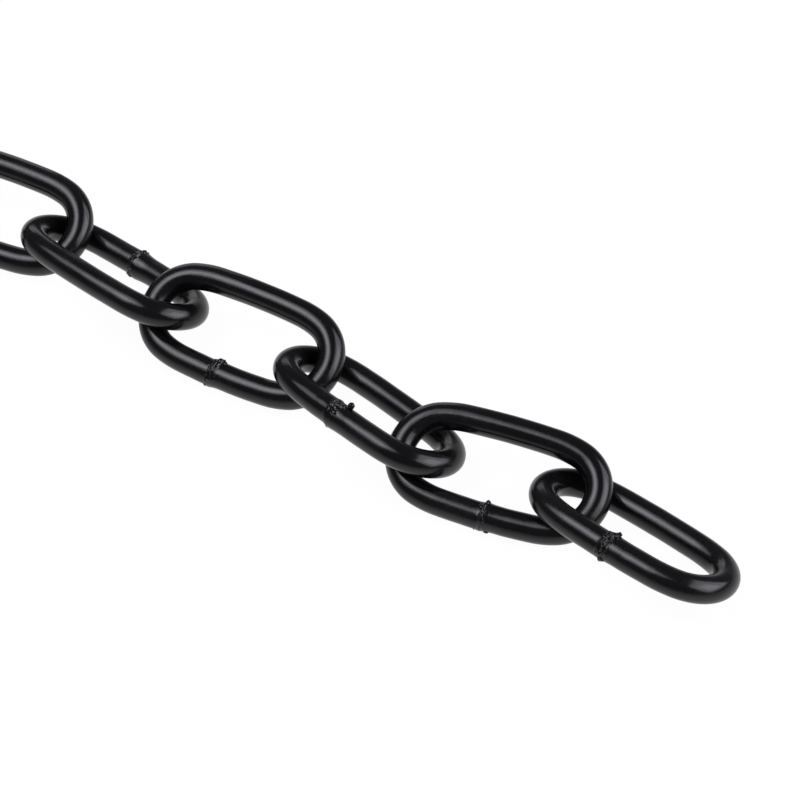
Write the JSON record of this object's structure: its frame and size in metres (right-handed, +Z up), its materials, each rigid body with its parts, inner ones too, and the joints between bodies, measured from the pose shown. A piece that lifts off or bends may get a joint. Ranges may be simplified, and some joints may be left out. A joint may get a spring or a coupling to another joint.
{
  "type": "welded steel chain",
  "caption": "Black-coated long-link steel chain laid out straight, each welded oval link hooked through the next.",
  "frame": {"origin": "middle of the laid chain's box, on the floor it lies on", "axes": "+X along the chain towards the free end in the picture, +Z up from the floor, -Y towards the camera's side"},
  "size_m": [0.9349, 0.0424, 0.022],
  "materials": {
    "black_paint": "glossy black paint over steel wire and rough weld flash"
  },
  "bodies": {
    "link_01": {"link_01": "black_paint"},
    "link_02": {"link_02": "black_paint"},
    "link_03": {"link_03": "black_paint"},
    "link_04": {"link_04": "black_paint"},
    "link_05": {"link_05": "black_paint"},
    "link_06": {"link_06": "black_paint"},
    "link_07": {"link_07": "black_paint"},
    "link_08": {"link_08": "black_paint"},
    "link_09": {"link_09": "black_paint"},
    "link_10": {"link_10": "black_paint"},
    "link_11": {"link_11": "black_paint"},
    "link_12": {"link_12": "black_paint"},
    "link_13": {"link_13": "black_paint"},
    "link_14": {"link_14": "black_paint"},
    "link_15": {"link_15": "black_paint"},
    "link_16": {"link_16": "black_paint"},
    "link_17": {"link_17": "black_paint"},
    "link_18": {"link_18": "black_paint"},
    "link_19": {"link_19": "black_paint"}
  },
  "joints": [
    {"name": "swing_02", "type": "hinge", "parent": "link_01", "child": "link_02", "pos_m": [0.40307, 0.0009, 0.01003], "axis": [0.0958, -0.4358, 0.8949], "range_deg": [-75, 75]},
    {"name": "swing_03", "type": "hinge", "parent": "link_02", "child": "link_03", "pos_m": [0.35866, -0.00552, 0.01041], "axis": [0.0872, 0.466, 0.8805], "range_deg": [-75, 75]},
    {"name": "swing_04", "type": "hinge", "parent": "link_03", "child": "link_04", "pos_m": [0.31409, 0.00263, 0.01097], "axis": [-0.0422, 0.5133, -0.8572], "range_deg": [-75, 75]},
    {"name": "swing_05", "type": "hinge", "parent": "link_04", "child": "link_05", "pos_m": [0.26525, 0.00017, 0.01066], "axis": [-0.054, -0.4894, -0.8704], "range_deg": [-75, 75]},
    {"name": "swing_06", "type": "hinge", "parent": "link_05", "child": "link_06", "pos_m": [0.21675, 0.00641, 0.01086], "axis": [0.0662, -0.5032, 0.8616], "range_deg": [-75, 75]},
    {"name": "swing_07", "type": "hinge", "parent": "link_06", "child": "link_07", "pos_m": [0.16832, 0.00061, 0.01055], "axis": [0.0465, 0.4826, 0.8746], "range_deg": [-75, 75]},
    {"name": "swing_08", "type": "hinge", "parent": "link_07", "child": "link_08", "pos_m": [0.11972, 0.00417, 0.01055], "axis": [-0.0465, 0.4826, -0.8746], "range_deg": [-75, 75]},
    {"name": "swing_09", "type": "hinge", "parent": "link_08", "child": "link_09", "pos_m": [0.07112, 0.00061, 0.01055], "axis": [-0.0465, -0.4826, -0.8746], "range_deg": [-75, 75]},
    {"name": "swing_10", "type": "hinge", "parent": "link_09", "child": "link_10", "pos_m": [0.02252, 0.00417, 0.01055], "axis": [0.0465, -0.4826, 0.8746], "range_deg": [-75, 75]},
    {"name": "swing_11", "type": "hinge", "parent": "link_10", "child": "link_11", "pos_m": [-0.02608, 0.00061, 0.01055], "axis": [0.0465, 0.4826, 0.8746], "range_deg": [-75, 75]},
    {"name": "swing_12", "type": "hinge", "parent": "link_11", "child": "link_12", "pos_m": [-0.07468, 0.00417, 0.01055], "axis": [-0.0465, 0.4826, -0.8746], "range_deg": [-75, 75]},
    {"name": "swing_13", "type": "hinge", "parent": "link_12", "child": "link_13", "pos_m": [-0.12328, 0.00061, 0.01055], "axis": [-0.0465, -0.4826, -0.8746], "range_deg": [-75, 75]},
    {"name": "swing_14", "type": "hinge", "parent": "link_13", "child": "link_14", "pos_m": [-0.17188, 0.00417, 0.01055], "axis": [0.0465, -0.4826, 0.8746], "range_deg": [-75, 75]},
    {"name": "swing_15", "type": "hinge", "parent": "link_14", "child": "link_15", "pos_m": [-0.22048, 0.00061, 0.01055], "axis": [0.0465, 0.4826, 0.8746], "range_deg": [-75, 75]},
    {"name": "swing_16", "type": "hinge", "parent": "link_15", "child": "link_16", "pos_m": [-0.26908, 0.00417, 0.01055], "axis": [-0.0465, 0.4826, -0.8746], "range_deg": [-75, 75]},
    {"name": "swing_17", "type": "hinge", "parent": "link_16", "child": "link_17", "pos_m": [-0.31768, 0.00061, 0.01055], "axis": [-0.0465, -0.4826, -0.8746], "range_deg": [-75, 75]},
    {"name": "swing_18", "type": "hinge", "parent": "link_17", "child": "link_18", "pos_m": [-0.36628, 0.00417, 0.01055], "axis": [0.0465, -0.4826, 0.8746], "range_deg": [-75, 75]},
    {"name": "swing_19", "type": "hinge", "parent": "link_18", "child": "link_19", "pos_m": [-0.41488, 0.00061, 0.01055], "axis": [0.0465, 0.4826, 0.8746], "range_deg": [-75, 75]}
  ]
}
